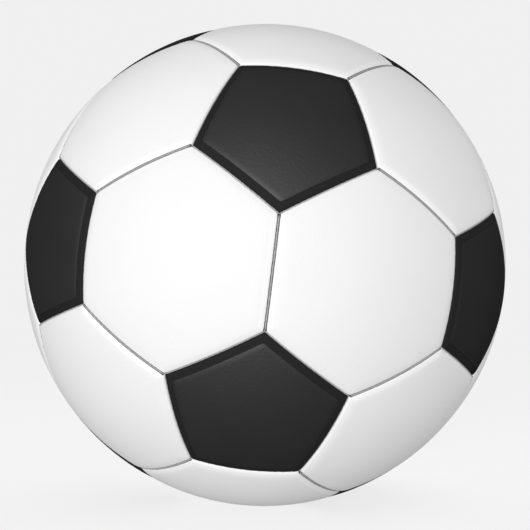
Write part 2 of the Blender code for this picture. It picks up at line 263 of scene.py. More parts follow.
@dataclass(frozen=True)
class EmbossedPu(TwoToneFinish):
    """Polyurethane synthetic leather: a coated skin, calendered, then embossed with a fine pebble."""

    roughness: tuple[float, float]
    specular: float
    pebble_mm: float = 1.1  # a real grain is about 0.4 mm, drawn coarser so that it shows at all
    pebble_height_mm: float = 0.045
    cloud_mm: float = 22.0

    def draw(self, tree: Tree, where: Socket) -> Drawing:
        """Draws a satin skin whose tone drifts slightly and whose pebble breaks up its highlight.

        Args:
            tree: the node tree.
            where: the place on the piece.

        Returns:
            The drawing.
        """
        drift = {"Scale": per_metre(self.cloud_mm), "Detail": 3.0}
        cloud = add_node(tree, "TexNoise", drift, {"Vector": where}).outputs["Fac"]
        glossy, dull = self.roughness
        gloss = add_node(tree, "MapRange", {"To Min": glossy, "To Max": dull}, {"Value": cloud})
        cells = {"feature": "SMOOTH_F1", "Scale": per_metre(self.pebble_mm), "Smoothness": 0.6}
        pebble = add_node(tree, "TexVoronoi", cells, {"Vector": where})
        return Drawing(
            cloud,
            pebble.outputs["Distance"],
            {"Strength": 1.0, "Distance": self.pebble_height_mm * MM, "invert": True},
            {"IOR": 1.5, "Specular IOR Level": self.specular, "Metallic": 0.0},
            {"Roughness": gloss.outputs["Result"]},
        )


@dataclass(frozen=True)
class WaxedPolyesterThread(TwoToneFinish):
    """Twisted polyester cord, waxed: dull, with fine fibres that run along the twist."""

    fibre_mm: float = 0.12
    fibre_height_mm: float = 0.03

    def draw(self, tree: Tree, where: Socket) -> Drawing:
        """Draws a matte thread, with painted shade between its fibres, where its relief lies low.

        Args:
            tree: the node tree.
            where: the place on the piece.

        Returns:
            The drawing.
        """
        fuzz = {"Scale": per_metre(self.fibre_mm), "Detail": 2.0}
        fibres = add_node(tree, "TexNoise", fuzz, {"Vector": where}).outputs["Fac"]
        shader = {"IOR": 1.54, "Roughness": 0.7, "Specular IOR Level": 0.3, "Sheen Weight": 0.15}
        # The fibre noise sets both the relief and the tone: the darker tone where it lies low is
        # painted shade.
        return Drawing(fibres, fibres, {"Distance": self.fibre_height_mm * MM}, shader)


@dataclass(frozen=True)
class MouldedRubber(TwoToneFinish):
    """Compression-moulded butyl rubber: a fine sandblasted mould texture and a soft grey bloom."""

    roughness: float
    grit_mm: float = 0.25
    grit_height_mm: float = 0.02
    bloom_mm: float = 4.0
    bloom_range: tuple[float, float] = (0.45, 0.75)

    def draw(self, tree: Tree, where: Socket) -> Drawing:
        """Draws a dull rubber, dusted lighter in patches.

        Args:
            tree: the node tree.
            where: the place on the piece.

        Returns:
            The drawing.
        """
        speckle = {"Scale": per_metre(self.bloom_mm), "Detail": 5.0}
        dust = add_node(tree, "TexNoise", speckle, {"Vector": where}).outputs["Fac"]
        none, full = self.bloom_range
        patches = add_node(tree, "MapRange", {"From Min": none, "From Max": full}, {"Value": dust})
        sand = {"Scale": per_metre(self.grit_mm), "Detail": 1.0}
        grit = add_node(tree, "TexNoise", sand, {"Vector": where}).outputs["Fac"]
        return Drawing(
            patches.outputs["Result"],
            grit,
            {"Distance": self.grit_height_mm * MM, "Strength": 0.6},
            {"IOR": 1.52, "Roughness": self.roughness, "Specular IOR Level": 0.4},
        )


@dataclass(frozen=True)
class WovenCotton(TwoToneFinish):
    """Plain-woven cotton, unbleached: threads over and under one another, and no gloss."""

    thread_mm: float = 0.6
    thread_height_mm: float = 0.1

    def draw(self, tree: Tree, where: Socket) -> Drawing:
        """Draws a cloth whose two sets of threads cross, with painted shade where the weave lies low.

        Args:
            tree: the node tree.
            where: the place on the piece.

        Returns:
            The drawing.
        """
        heights = {}
        for at, direction in enumerate("XZ"):
            rows = {"bands_direction": direction, "Scale": per_metre(self.thread_mm) / FULL_TURN}
            heights[at] = add_node(tree, "TexWave", rows, {"Vector": where}).outputs["Fac"]
        weave = add_node(tree, "Math", {"operation": "MULTIPLY"}, heights).outputs[0]
        shader = {"Roughness": 0.9, "Specular IOR Level": 0.2, "Sheen Weight": 0.3}
        # The weave sets both the relief and the tone: the darker tone where it lies low is painted
        # shade.
        return Drawing(weave, weave, {"Distance": self.thread_height_mm * MM}, shader)


class Finish(Enum):
    """The ball's finishes, each with what it gives the eye."""

    # A bright, even satin with a grain that is only just there.
    WHITE_SKIN = EmbossedPu("white_embossed_pu", "#F0F0F0", "#F3F3F3", (0.62, 0.70), 0.4)
    # Pressed flatter than the crown and smoother; its whiter tone is a painted highlight along the
    # seams.
    WHITE_MARGIN_PAINTED_HIGHLIGHT = EmbossedPu("white_pressed_pu_painted_highlight", "#F6F6F6", "#F9F9F9", (0.52, 0.60), 0.4)
    # The turned edge, painted dark grey as seam shade that a real white fold doesn't have, so that a
    # seam reads as one grey line.
    WHITE_FOLD_SEAM_SHADE = EmbossedPu("white_fold_painted_seam_shade", "#525252", "#5A5A5A", (0.62, 0.70), 0.2)
    # A deep grey-black with a broad, soft highlight.
    BLACK_SKIN = EmbossedPu("black_embossed_pu", "#242425", "#262627", (0.58, 0.64), 1.0)
    # Pressed and matte: a darker frame round the crown.
    BLACK_MARGIN = EmbossedPu("black_pressed_pu", "#242424", "#262626", (0.72, 0.78), 0.1)
    # Cream cloth on the cover's inner side.
    LINING = WovenCotton("laminate_woven_cotton", "#B0ACA2", "#DCD8CE", 0.5)
    # A dull mid-grey cord at the bottom of the seams.
    THREAD = WaxedPolyesterThread("grey_waxed_polyester", "#989898", "#B8B8B8")
    # Near-black and dull.
    VALVE = MouldedRubber("valve_moulded_butyl", "#2A2A2B", "#3A3A3B", 0.50)
    # Lighter and smoother than its housing, so that the plug shows in it.
    VALVE_CORE = MouldedRubber("core_moulded_butyl", "#4A4A4B", "#5A5A5B", 0.42)
    # Black with a faint sheen, as a dipped skin has.
    BLADDER = MouldedRubber("bladder_dipped_butyl", "#1C1C1D", "#29292A", 0.45)
    # Reddish brown and chalky.
    PATCH = MouldedRubber("patch_cut_rubber", "#4A3A34", "#5A4A42", 0.65)
    # Cream cloth with a coarser thread.
    BACKING = WovenCotton("backing_woven_cotton", "#A8A292", "#D8D2C2")

    @cache
    def material(self) -> bpy.types.Material:
        """The finish's one material, built the first time it is asked for."""
        return self.value.make()


# ---- Meshes ----


@dataclass
class Weave:
    """A mesh in the making: loops of points, each bridged to the one before."""

    points: list[np.ndarray] = field(default_factory=list)
    faces: list[tuple[int, ...]] = field(default_factory=list)
    kinds: list[int] = field(default_factory=list)
    count: int = 0

    def add(self, points: np.ndarray) -> np.ndarray:
        """Adds points.

        Args:
            points: one point a row.

        Returns:
            Their numbers.
        """
        numbers = np.arange(self.count, self.count + len(points))
        self.points.append(points)
        self.count += len(points)
        return numbers

    def bridge(self, one: np.ndarray, other: np.ndarray, kind: int | np.ndarray = 0) -> None:
        """Joins two loops of as many points with a band of faces.

        Args:
            one: the numbers of the first loop's points.
            other: those of the second's.
            kind: the material index of the band, or one for each of its faces.
        """
        self.faces.extend(zip(one, np.roll(one, -1), np.roll(other, -1), other))
        self.kinds.extend(np.broadcast_to(kind, len(one)).tolist())

    def cap(self, loop: np.ndarray, middle: np.ndarray, kind: int = 0, flip: bool = False) -> None:
        """Closes a loop with a fan round one point.

        Args:
            loop: the numbers of the loop's points.
            middle: the point.
            kind: the material index of the fan.
            flip: True for the first loop of a skin, so that the fan faces as its bands do.
        """
        centre = self.add(middle[None, :])[0]
        for here, there in zip(loop, np.roll(loop, -1)):
            self.faces.append((here, there, centre) if flip else (there, here, centre))
            self.kinds.append(kind)

    def skin(
        self,
        loops: Sequence[np.ndarray],
        tips: Optional[tuple[Optional[np.ndarray], Optional[np.ndarray]]] = None,
        kinds: Optional[Sequence[int | np.ndarray]] = None,
    ) -> None:
        """Adds loops, joins each to the one before it, and closes the ends.

        Args:
            loops: each with one point a row.
            tips: the points that close the first and the last loop; None leaves one open. Without
                tips the last loop is joined to the first.
            kinds: the material index of the band that leads to each loop, or one a face.
        """
        kinds = kinds or [0] * len(loops)
        numbers = [self.add(loop) for loop in loops]
        for inner, outer, kind in zip(numbers, numbers[1:], kinds[1:]):
            self.bridge(outer, inner, kind)
        if tips is None:
            self.bridge(numbers[0], numbers[-1], kinds[0])
            return
        for end, tip in zip((0, -1), tips):
            if tip is not None:
                self.cap(numbers[end], tip, kinds[end], flip=end == 0)

    def to_object(
        self, name: str, materials: Sequence[bpy.types.Material], crease: float = 180.0
    ) -> Piece:
        """Makes the object.

        Args:
            name: its name.
            materials: one for each material index.
            crease: the angle in degrees from which an edge shows sharp.

        Returns:
            A smooth-shaded object, linked to the scene.
        """
        mesh = bpy.data.meshes.new(name)
        faces = [tuple(int(k) for k in face) for face in self.faces]
        mesh.from_pydata(np.concatenate(self.points).tolist(), [], faces)
        mesh.polygons.foreach_set("material_index", np.array(self.kinds, dtype=np.int32))
        for material in materials:
            mesh.materials.append(material)
        mesh.shade_smooth()
        mesh.set_sharp_from_angle(angle=math.radians(crease))
        mesh.update()
        made = bpy.data.objects.new(name, mesh)
        bpy.context.scene.collection.objects.link(made)
        return made


# ---- Where the seams lie ----


@dataclass
class SeamPattern:
    """The panels' middles and corners, as directions from the ball's centre."""

    middles: dict[str, np.ndarray]

    @classmethod
    def of_frame(cls) -> "SeamPattern":
        """Reads the middle of every packed panel."""
        return cls({n: cls.direction_of(o) for n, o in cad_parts.items() if "panel" in n})

    @staticmethod
    def points_of(node: Piece) -> np.ndarray:
        """Reads a node's points.

        Args:
            node: a CAD node.

        Returns:
            One point a row.
        """
        flat = np.empty(len(node.data.vertices) * 3)
        node.data.vertices.foreach_get("co", flat)
        return flat.reshape(-1, 3)

    @classmethod
    def direction_of(cls, node: Piece) -> np.ndarray:
        """Which way a node lies from the ball's centre."""
        return unit(cls.points_of(node).mean(axis=0))

    def blacks(self) -> np.ndarray:
        """The middles of the black panels."""
        return np.array([m for n, m in self.middles.items() if n.startswith("black")])

    def neighbours_of(self, middle: np.ndarray) -> np.ndarray:
        """The middles of the five black panels nearest to a black panel."""
        blacks = self.blacks()
        return blacks[np.argsort(-blacks @ middle)[1:6]]

    def corners_of(self, middle: np.ndarray, sides: int) -> np.ndarray:
        """Finds a panel's corners, each a third of the way from one black panel to the next.

        Args:
            middle: the panel's middle.
            sides: how many it has.

        Returns:
            One direction a row, counter-clockwise seen from outside.
        """
        blacks = self.blacks()
        corners = np.array([unit(2 * b + other) for b in blacks for other in self.neighbours_of(b)])
        corners = corners[np.argsort(-corners @ middle)[:sides]]
        right, up = sideways_of(middle)
        return corners[np.argsort(np.arctan2(corners @ up, corners @ right))]


# ---- The cover ----


class Layer(IntEnum):
    """What a panel's faces are, by material index."""

    CROWN = 0
    # On white panels the margin's finish is whiter: a painted highlight.
    MARGIN = 1
    # On white panels beside white ones, the fold takes a dark grey that is painted seam shade.
    FOLD = 2
    LINING = 3


@dataclass(frozen=True)
class EdgeCut:
    """How a panel's edge is pressed and rolled down into the seam."""

    margin: float  # width of the pressed band
    fall: float  # how far the band drops
    step: float  # the low step at the band's inner side
    roll: float  # radius of the fold


BLACK_EDGE = EdgeCut(margin=3.6 * MM, fall=0.30 * MM, step=0.10 * MM, roll=1.3 * MM)
WHITE_EDGE = EdgeCut(margin=2.7 * MM, fall=0.36 * MM, step=0.0, roll=1.35 * MM)

WHITE_LAYERS = (Finish.WHITE_SKIN, Finish.WHITE_MARGIN_PAINTED_HIGHLIGHT, Finish.WHITE_FOLD_SEAM_SHADE, Finish.LINING)
BLACK_LAYERS = (Finish.BLACK_SKIN, Finish.BLACK_MARGIN, Finish.BLACK_MARGIN, Finish.LINING)

# The valve's hole, from its wall out over its lip and the pressed seat round it: millimetres from its
# middle, and above the level of the panel's edge.
HOLE_LIP_MM = (
    (5.80, -LAMINATE_MM), (5.80, -1.10), (5.88, -0.80), (6.08, -0.58), (6.40, -0.48),
    (7.00, -0.42), (8.60, -0.36), (9.00, -0.34), (9.25, -0.20), (9.60, 0.02), (10.10, 0.12),
)


@dataclass
class Panel:
    """One panel of the cover: a dished laminate whose edges turn in as flanges."""

    name: str
    middle: np.ndarray
    corners: np.ndarray
    blacks: np.ndarray  # the middles of the black panels
    edge: EdgeCut
    finishes: tuple[Finish, ...]  # one for each layer
    slot: str
    radius: float
    holed: bool = False
    half_gap: float = 0.15 * MM
    puff: float = 0.20 * MM
    beside_black: float = math.cos(math.radians(20.5))  # cosine from its middle to its sides'
    flange_depth: float = 7.0 * MM
    flange_thickness: float = 2.4 * MM
    step_width: float = 0.25 * MM
    pucker: float = 0.05 * MM
    per_stitch: int = 3  # points
    corner_round: float = 0.12
    # On white panels beside white ones, the fold's finish is painted seam shade.
    fold_from: float = math.radians(50)  # how far round the roll the fold's finish begins
    roll_steps: int = 8
    margin_shares: tuple[float, ...] = (0.3, 0.6, 1.0)
    crown_shares: tuple[float, ...] = (0.14, 0.3, 0.45, 0.6, 0.73, 0.84, 0.93)
    holed_shares: tuple[float, ...] = (0.62, 0.72, 0.82, 0.91)
    lining_shares: tuple[float, ...] = (0.7, 0.4)
    crease: float = 48.0

    def outline(self, inset: float, radius: float) -> np.ndarray:
        """Draws the panel's outline this far inside its seams, at this radius.

        Args:
            inset: metres from each seam's middle plane.
            radius: metres from the ball's centre.

        Returns:
            One point a row, counter-clockwise.
        """
        walls = unit(np.cross(self.corners, np.roll(self.corners, -1, axis=0)))
        before = np.roll(walls, 1, axis=0)
        across = (before + walls) * (inset / (1 + dots(before, walls)))
        along = unit(np.cross(before, walls))
        along = along * np.sign(dots(along, self.corners))
        ends = across + along * np.sqrt(radius**2 - dots(across, across))
        centres = walls * inset
        steps = STITCHES * self.per_stitch
        starts, stops = ends - centres, np.roll(ends, -1, axis=0) - centres
        loop = (centres[:, None, :] + arcs(starts, stops, np.arange(steps) / steps)).reshape(-1, 3)
        firsts = np.arange(len(self.corners)) * steps
        pulled = loop[firsts - 1] + loop[(firsts + 1) % len(loop)] - 2 * loop[firsts]
        loop[firsts] += self.corner_round * pulled
        return unit(loop) * radius

    def pulled_in(self, loop: np.ndarray, strength: float) -> np.ndarray:
        """That loop with a slight pucker at every stitch."""
        wave = stitch_wave(len(loop), self.per_stitch)
        return loop - unit(loop) * (self.pucker * strength * wave)[:, None]

    def drawn_in(self, loop: np.ndarray, share: float, radius: float) -> np.ndarray:
        """That loop drawn in towards the panel's middle, at this radius."""
        middle = np.repeat(self.middle[None, :], len(loop), axis=0)
        return arcs(middle, unit(loop), np.array([share]))[:, 0, :] * radius

    def round_about(self, loop: np.ndarray, out: float, radius: float) -> np.ndarray:
        """A circle round the panel's middle, with a point towards each point of the loop."""
        level = loop - self.middle * (loop @ self.middle)[:, None]
        return unit(level) * out + self.middle * math.sqrt(radius**2 - out**2)

    def crown_at(self, share: float) -> float:
        """The crown's radius, that share of the way out from the panel's middle."""
        return self.radius + self.puff * (1 - share**2)

    def by_side(self, beside_black: int, beside_white: int) -> np.ndarray:
        """Chooses each face's layer by what lies across the seam from it.

        Args:
            beside_black: the layer on the sides that meet a black panel.
            beside_white: the layer on the others.

        Returns:
            One material index a face of a band.
        """
        halfway = unit(self.corners + np.roll(self.corners, -1, axis=0))
        meets_black = (halfway @ self.blacks.T).max(axis=1) > self.beside_black
        chosen = np.where(meets_black, beside_black, beside_white)
        return np.repeat(chosen, STITCHES * self.per_stitch)

    def edge_loops(self) -> tuple[list[np.ndarray], list[int | np.ndarray]]:
        """Draws the panel from its crown's edge over its margin, roll and flange to its lining.

        Returns:
            The loops, and for each the material index of the band that leads to it.
        """
        edge = self.edge
        slope = math.atan2(edge.fall, edge.margin - edge.roll)
        start = self.half_gap + edge.margin
        roll_inset = self.half_gap + edge.roll * (1 - math.sin(slope))
        low = self.radius - edge.step
        loops = [self.outline(start, self.radius)]
        kinds = [Layer.CROWN]
        if edge.step:
            start -= self.step_width
            loops.append(self.outline(start, low))
            kinds.append(Layer.CROWN)
        # On white panels the margin's whiter finish, a painted highlight, lies only beside white
        # panels; beside black ones the crown's finish runs on.
        margin = Layer.MARGIN if edge.step else self.by_side(Layer.CROWN, Layer.MARGIN)
        for share in self.margin_shares:
            loop = self.outline(start + (roll_inset - start) * share, low - edge.fall * share)
            loops.append(self.pulled_in(loop, share))
            kinds.append(margin)
        base = low - edge.fall + edge.roll * (1 - math.cos(slope))
        # Below fold_from, white panels take painted seam shade beside white panels and the margin's
        # whiter finish, a painted highlight, beside black ones; above it the roll takes the margin's
        # finish.
        fold = self.by_side(Layer.MARGIN, Layer.FOLD)
        for angle in np.linspace(slope, math.pi / 2, self.roll_steps + 1)[1:]:
            inset = self.half_gap + edge.roll * (1 - math.sin(angle))
            loop = self.outline(inset, base - edge.roll * (1 - math.cos(angle)))
            loops.append(self.pulled_in(loop, max(0.0, math.cos(angle))))
            kinds.append(Layer.MARGIN if angle < self.fold_from else fold)
        inner = self.half_gap + self.flange_thickness
        tip = self.radius - self.flange_depth
        flange = ((self.half_gap, tip), (inner, tip), (inner, self.radius - LAMINATE_MM * MM))
        for inset, radius in flange:
            loops.append(self.outline(inset, radius))
            kinds.append(Layer.LINING)
        return loops, kinds

    def build(self) -> Piece:
        """Makes the panel in its place on the ball.

        Returns:
            The panel, standing for the CAD node of its name.
        """
        edge_loops, kinds = self.edge_loops()
        outline = edge_loops[0]
        shares = self.holed_shares if self.holed else self.crown_shares
        crown = [self.drawn_in(outline, share, self.crown_at(share)) for share in shares]
        level = self.radius - LAMINATE_MM * MM
        lining = [self.drawn_in(edge_loops[-1], share, level) for share in self.lining_shares]
        tips = (self.middle * self.crown_at(0.0), self.middle * level)
        if self.holed:
            lip = [(out * MM, self.radius + up * MM) for out, up in HOLE_LIP_MM]
            crown = [self.round_about(outline, out, radius) for out, radius in lip] + crown
            tips = None
        kinds = [Layer.CROWN] * len(crown) + kinds + [Layer.LINING] * len(lining)
        weave = Weave()
        weave.skin(crown + edge_loops + lining, tips, kinds)
        materials = [finish.material() for finish in self.finishes]
        made = weave.to_object(f"{self.name}_cover", materials, self.crease)
        return dress(made, self.name)


@dataclass
class SeamThread:
    """One length of twisted thread, sewn round a black panel and out along some white seams."""

    name: str
    corners: np.ndarray
    far_corners: np.ndarray
    covers: np.ndarray  # which of the white seams it follows
    radius: float
    depth: float = 0.78 * MM
    thread: float = 0.325 * MM
    ring_depth: float = 1.15 * MM  # beside the black panel, where it is pulled in tight
    ring_share: float = 0.57
    let_go: float = 2.0  # points along a run over which it comes up again
    stitch_dive: float = 0.06 * MM
    steps: int = 8  # along one stitch
    lobe: float = 0.14
    turns: int = 18  # of the ply, along one side
    around: int = 8
    end_shares: tuple[float, float] = (0.8, 0.35)
    crease: float = 80.0

    def run(self, start: np.ndarray, end: np.ndarray) -> np.ndarray:
        """Points along one seam, from its start up to just short of its end."""
        points = STITCHES * self.steps
        return arcs(start[None, :], end[None, :], np.arange(points) / points)[0]

    def pull(self, path: np.ndarray, closed: bool) -> np.ndarray:
        """How far each point is pulled in: wholly on the ring, less and less along a run."""
        return np.ones(len(path)) if closed else np.exp(-np.arange(len(path)) / self.let_go)

    def sink(self, path: np.ndarray, pull: np.ndarray) -> np.ndarray:
        """Lays a path at the bottom of the groove, diving at the end of each stitch.

        Args:
            path: one direction a row.
            pull: how far each point is pulled in.

        Returns:
            One point a row.
        """
        depth = self.depth + (self.ring_depth - self.depth) * pull
        level = self.radius - depth - self.stitch_dive * stitch_wave(len(path), self.steps)
        return unit(path) * level[:, None]

    def tube(self, weave: Weave, way: np.ndarray, closed: bool) -> None:
        """Lays a two-ply twisted tube along the seams.

        Args:
            weave: the mesh it is added to.
            way: the seams that it follows, one direction a row.
            closed: True for a ring, False for a run with two ends, the far one tapered.
        """
        pull = self.pull(way, closed)
        path = self.sink(way, pull)
        if closed:
            ahead = unit(np.roll(path, -1, axis=0) - np.roll(path, 1, axis=0))
        else:
            ahead = unit(np.gradient(path, axis=0))
        side = unit(np.cross(ahead, unit(path)))
        up = np.cross(side, ahead)
        sides_run = len(path) / (STITCHES * self.steps)
        twist = even_angles(len(path)) * round(self.turns * sides_run)
        thick = self.thread * (1 - (1 - self.ring_share) * pull)
        if not closed:
            thick[-2:] *= self.end_shares
        angles = even_angles(self.around)
        loops = []
        for at, middle in enumerate(path):
            out = thick[at] * (1 + self.lobe * np.cos(2 * angles - twist[at]))
            loops.append(middle + circle(angles, side[at], up[at]) * out[:, None])
        weave.skin(loops, None if closed else (path[0], path[-1]))

    def build(self) -> Piece:
        """Makes the thread along the seams that its CAD node covers.

        Returns:
            The thread, standing for its CAD node.
        """
        weave = Weave()
        after = np.roll(self.corners, -1, axis=0)
        ring = [self.run(one, other) for one, other in zip(self.corners, after)]
        self.tube(weave, np.concatenate(ring), closed=True)
        for near, far, covered in zip(self.corners, self.far_corners, self.covers):
            if covered:
                self.tube(weave, self.run(near, far), closed=False)
        made = weave.to_object(f"{self.name}_cord", [Finish.THREAD.material()], self.crease)
        return dress(made, self.name)


@dataclass
class Cover:
    """The thirty-two panels and the thread between them."""

    pattern: SeamPattern
    radius: float
    near_enough: float = 9.0 * MM  # from a seam's middle to a packed thread that follows it

    def build_panels(self) -> list[Piece]:
        """Makes every panel.

        Returns:
            The panels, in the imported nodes' order.
        """
        made = []
        for name, middle in self.pattern.middles.items():
            dark = name.startswith("black")
            panel = Panel(
                name=name,
                middle=middle,
                corners=self.pattern.corners_of(middle, 5 if dark else 6),
                blacks=self.pattern.blacks(),
                edge=BLACK_EDGE if dark else WHITE_EDGE,
                finishes=BLACK_LAYERS if dark else WHITE_LAYERS,
                slot="black_skin" if dark else "white_skin",
                radius=self.radius,
                holed=name.startswith("valve"),
            )
            made.append(panel.build())
        return made

    def build_threads(self) -> list[Piece]:
        """Makes every length of thread, along the seams that its CAD node follows.

        Returns:
            The threads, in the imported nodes' order.
        """
        made = []
        near_enough = math.cos(self.near_enough / self.radius)
        for name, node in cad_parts.items():
            if not name.startswith("seam_thread"):
                continue
            black = self.pattern.middles[name.replace("seam_thread", "black_panel")]
            corners = self.pattern.corners_of(black, 5)
            others = self.pattern.neighbours_of(black)
            outward = np.array([others[np.argmax(others @ corner)] for corner in corners])
            packed = unit(SeamPattern.points_of(node))
            thread = SeamThread(
                name=name,
                corners=corners,
                far_corners=unit(2 * outward + black),
                covers=(packed @ unit(black + outward).T).max(axis=0) > near_enough,
                radius=self.radius,
            )
            made.append(thread.build())
        return made


# ---- Turned pieces ----


def softened(points: Profile, radius: float, closed: bool = True) -> Profile:
    """Rounds a profile's corners.

    Args:
        points: the profile.
        radius: how far from a corner its rounding begins, at most.
        closed: False keeps the first and last point, which lie on the axis.

    Returns:
        The profile, with three points for each corner.
    """
    corners = np.array(points)
    keep = 0 if closed else 1
    rounded = points[:keep]
    for at in range(keep, len(points) - keep):
        before, here, after = corners[at - 1], corners[at], corners[(at + 1) % len(corners)]
        back, on = before - here, after - here
        start = here + back * min(0.45, radius / np.linalg.norm(back))
        end = here + on * min(0.45, radius / np.linalg.norm(on))
        rounded = rounded + [tuple(start), tuple(start / 4 + here / 2 + end / 4), tuple(end)]
    return rounded + points[len(points) - keep :]


def dome(radius: float, out: float) -> float:
    """The height of a sphere of this radius at a distance out from its axis."""
    return math.sqrt(radius**2 - out**2)


def dome_line(radius: float, start: float, end: float, steps: int) -> Profile:
    """Points on a sphere of this radius, from one distance off its axis to another."""
    return [(float(out), dome(radius, out)) for out in np.linspace(start, end, steps + 1)]


@dataclass
class TurnedPiece:
    """A piece that is round about an axis through the ball's centre."""

    name: str
    node: str
    axis: np.ndarray
    profile: Profile
    finish: Finish
    slot: str
    body: str = BALL
    segments: int = 72
    crease: float = 35.0

    def build(self) -> Piece:
        """Spins the profile round the axis.

        Returns:
            The piece, standing for its CAD node. A profile that starts on the axis also ends on it.
        """
        right, up = sideways_of(self.axis)
        spokes = circle(even_angles(self.segments), right, up)
        loops = [spokes * (out * MM) + self.axis * (height * MM) for out, height in self.profile]
        weave = Weave()
        if self.profile[0][0] == 0:
            weave.skin(loops[1:-1], (loops[0][0], loops[-1][0]))
        else:
            weave.skin(loops)
        made = weave.to_object(self.name, [self.finish.material()], self.crease)
        return dress(made, self.node, self.body)


# The core, from the bottom of its needle hole over its dished head to its tapered tip: millimetres from
# its axis, and below its head.
CORE_MM = (
    (0.0, 5.5), (0.7, 5.4), (0.95, 5.0), (0.95, 1.3), (1.05, 0.9), (1.45, 0.5), (2.0, 0.22),
    (2.5, 0.10), (3.0, 0.02), (3.45, 0.0), (3.75, 0.10), (3.9, 0.35), (3.9, 1.1), (3.0, 1.1),
    (3.0, 4.0), (2.85, 4.2), (2.85, 4.8), (3.0, 5.0), (3.0, 10.5), (2.7, 11.6), (1.9, 12.4),
    (1.5, 12.5), (0.0, 12.5),
)


@dataclass
class Valve:
    """The moulded valve housing and the core pressed into it."""

    axis: np.ndarray
    rim_mm: float  # height of the housing's rim above the ball's centre
    skirt_mm: float  # radius of the sphere under the skirt
    stem_mm: float = 5.4
    seat_mm: float = 4.2
    seat_depth_mm: float = 1.6
    barrel_mm: float = 5.0
    barrel_reach_mm: float = 9.3
    bore_mm: float = 3.3
    skirt_out_mm: float = 14.0
    skirt_mid_mm: float = 9.0
    skirt_thick_mm: float = 1.0
    edge_mm: float = 0.4  # bevel of the skirt's and the barrel's edges
    head_under_mm: float = 0.2  # how far the core's head lies under the rim

    def housing_profile(self) -> Profile:
        """Draws the housing: rounded rim, stem, skirt, barrel and stepped bore.

        Returns:
            A closed profile.
        """
        rim, under, stem, edge = self.rim_mm, self.skirt_mm, self.stem_mm, self.edge_mm
        seat, bore, barrel = self.seat_mm, self.bore_mm, self.barrel_mm
        middle, out = self.skirt_mid_mm, self.skirt_out_mm
        top = under + self.skirt_thick_mm
        low = dome(under, barrel) - self.barrel_reach_mm
        return [
            (seat, rim - 0.25),
            (seat + 0.08, rim - 0.08),
            (seat + 0.25, rim),
            (stem - 0.35, rim),
            (stem - 0.12, rim - 0.08),
            (stem, rim - 0.30),
            (stem, dome(top, stem) + 0.6),
            (stem + 0.18, dome(top, stem) + 0.2),
            (stem + 0.60, dome(top, stem + 0.6)),
            (middle, dome(top, middle)),
            (out - edge, dome(top, out - edge)),
            (out, dome(top, out) - edge),
            (out, dome(under, out)),
            (middle, dome(under, middle)),
            (barrel, dome(under, barrel)),
            (barrel, low + edge),
            (barrel - edge, low),
            (bore + 0.3, low),
            (bore, low + 0.3),
            (bore, rim - self.seat_depth_mm),
            (seat, rim - self.seat_depth_mm),
        ]

    def build(self) -> list[Piece]:
        """Makes the housing and the core.

        Returns:
            The two pieces.
        """
        axis, case = self.axis, self.housing_profile()
        head = self.rim_mm - self.head_under_mm
        plug = [(out, head - below) for out, below in CORE_MM]
        outer, inner = Finish.VALVE, Finish.VALVE_CORE
        table = (
            ("valve_housing_rubber", "valve_body", axis, case, outer, "valve_rubber", BALL),
            ("valve_core_plug", "valve_core", axis, plug, inner, "valve_core_rubber", CORE),
        )
        return [TurnedPiece(*row).build() for row in table]


